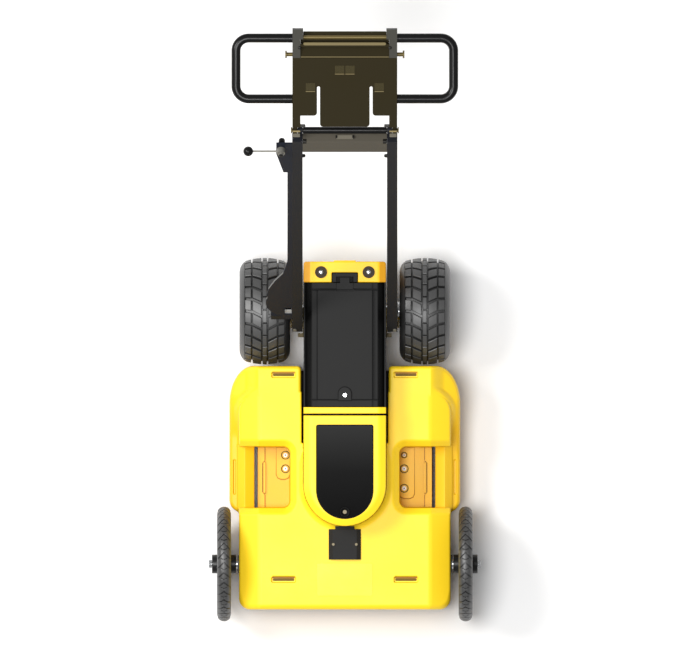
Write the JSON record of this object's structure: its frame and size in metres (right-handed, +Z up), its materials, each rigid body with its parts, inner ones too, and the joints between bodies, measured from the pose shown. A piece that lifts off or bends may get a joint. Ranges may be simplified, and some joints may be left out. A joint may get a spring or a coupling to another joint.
{
  "type": "ground penetrating radar cart",
  "caption": "Push cart with a low antenna body, battery spine, broad rear wheels, slim front wheels and a two-stage folding handle with a device tray.",
  "frame": {"origin": "on the ground under the middle of the cart's length and width", "axes": "+Z up, +Y to the rear (handle end), +X to the right seen from above with the handle at the top"},
  "size_m": [0.68, 1.4831, 1.0363],
  "materials": {
    "yellow_plastic": "satin moulded",
    "black_plastic": "fine grain",
    "gloss_black": "gloss",
    "black_paint": "satin powder coat",
    "olive_paint": "satin powder coat",
    "grey_paint": "satin",
    "olive_brass": "aged",
    "steel": "zinc plated",
    "rim_metal": "cast",
    "tyre_rubber": "matt",
    "shield_metal": "bare",
    "inner_plastic": "plain"
  },
  "bodies": {
    "chassis": {"spine_tub": "black_plastic", "rear_cap": "yellow_plastic", "cap_bolts": "olive_brass", "bay_bulkhead": "yellow_plastic", "control_cover": "yellow_plastic", "window_panel": "gloss_black", "deck_screws": "steel", "control_unit": "inner_plastic", "front_bracket": "black_plastic", "nose_shell": "yellow_plastic", "left_pod": "yellow_plastic", "right_pod": "yellow_plastic", "skid_pan": "black_plastic", "low_band_antenna": "shield_metal", "high_band_antenna": "shield_metal", "connectors": "steel", "label_plate": "yellow_plastic", "rear_axle": "steel", "axle_spacers": "black_plastic", "axle_nuts": "steel", "stub_axles": "steel", "odometer_rings": "black_plastic", "pivot_mounts": "olive_paint"},
    "rear_left_wheel": {"rear_left_tyre": "tyre_rubber", "rear_left_rim": "rim_metal", "rear_left_bearings": "steel"},
    "rear_right_wheel": {"rear_right_tyre": "tyre_rubber", "rear_right_rim": "rim_metal", "rear_right_bearings": "steel"},
    "front_left_wheel": {"front_left_tyre": "tyre_rubber", "front_left_hub": "black_plastic", "front_left_bearings": "steel"},
    "front_right_wheel": {"front_right_tyre": "tyre_rubber", "front_right_hub": "black_plastic", "front_right_bearings": "steel"},
    "battery": {"battery_case": "black_plastic", "battery_base": "black_plastic", "battery_cells": "inner_plastic", "battery_screw": "steel"},
    "battery_latch_slide": {"battery_latch": "black_plastic"},
    "lower_handle": {"left_rail": "black_paint", "right_rail": "black_paint", "cross_plate": "grey_paint", "hinge_pin": "olive_brass", "hinge_tube": "black_paint", "guard_plate": "black_paint", "foot_bolts": "steel"},
    "fold_latch_slide": {"fold_latch": "grey_paint"},
    "brake_lever_arm": {"brake_lever": "steel", "lever_knob": "gloss_black"},
    "brake_shoe": {"brake_rod": "grey_paint"},
    "upper_handle": {"tray_frame": "olive_paint", "corner_brackets": "grey_paint", "left_loop": "black_paint", "right_loop": "black_paint", "ledge": "olive_paint", "ledge_bar": "olive_brass"},
    "left_pull_plunger": {"left_plunger": "olive_brass"},
    "right_pull_plunger": {"right_plunger": "olive_brass"}
  },
  "joints": [
    {"name": "rear_left_spin", "type": "hinge", "parent": "chassis", "child": "rear_left_wheel", "pos_m": [-0.2, 0.034, 0.133], "axis": [1, 0, 0], "continuous": true},
    {"name": "rear_right_spin", "type": "hinge", "parent": "chassis", "child": "rear_right_wheel", "pos_m": [0.2, 0.034, 0.133], "axis": [1, 0, 0], "continuous": true},
    {"name": "front_left_spin", "type": "hinge", "parent": "chassis", "child": "front_left_wheel", "pos_m": [-0.302, -0.598, 0.1435], "axis": [1, 0, 0], "continuous": true},
    {"name": "front_right_spin", "type": "hinge", "parent": "chassis", "child": "front_right_wheel", "pos_m": [0.302, -0.598, 0.1435], "axis": [1, 0, 0], "continuous": true},
    {"name": "battery_lift", "type": "slide", "parent": "chassis", "child": "battery", "axis": [0, 0, 1], "range_m": [0, 0.14]},
    {"name": "battery_latch_press", "type": "slide", "parent": "battery", "child": "battery_latch_slide", "axis": [0, -1, 0], "range_m": [0, 0.004], "stiffness_N_per_m": 400},
    {"name": "handle_fold", "type": "hinge", "parent": "chassis", "child": "lower_handle", "pos_m": [0, 0.002, 0.262], "axis": [1, 0, 0], "range_deg": [0, 108]},
    {"name": "fold_latch_push", "type": "slide", "parent": "lower_handle", "child": "fold_latch_slide", "axis": [0, -0.8339, 0.5519], "range_m": [0, 0.005], "stiffness_N_per_m": 400},
    {"name": "brake_lever_swing", "type": "hinge", "parent": "lower_handle", "child": "brake_lever_arm", "pos_m": [-0.1595, 0.43947, 0.9474], "axis": [0, 0.8339, -0.5519], "range_deg": [0, 40]},
    {"name": "brake_shoe_slide", "type": "slide", "parent": "lower_handle", "child": "brake_shoe", "axis": [0, -0.5519, -0.8339], "range_m": [0, 0.012]},
    {"name": "upper_fold", "type": "hinge", "parent": "lower_handle", "child": "upper_handle", "pos_m": [0, 0.48641, 0.96669], "axis": [1, 0, 0], "range_deg": [-128, 0]},
    {"name": "left_plunger_pull", "type": "slide", "parent": "upper_handle", "child": "left_pull_plunger", "axis": [-1, 0, 0], "range_m": [0, 0.008], "stiffness_N_per_m": 800},
    {"name": "right_plunger_pull", "type": "slide", "parent": "upper_handle", "child": "right_pull_plunger", "axis": [1, 0, 0], "range_m": [0, 0.008], "stiffness_N_per_m": 800}
  ],
  "couplings": [
    {"joint": "brake_shoe_slide", "follows": "brake_lever_swing", "m_per_rad": 0.0171}
  ]
}
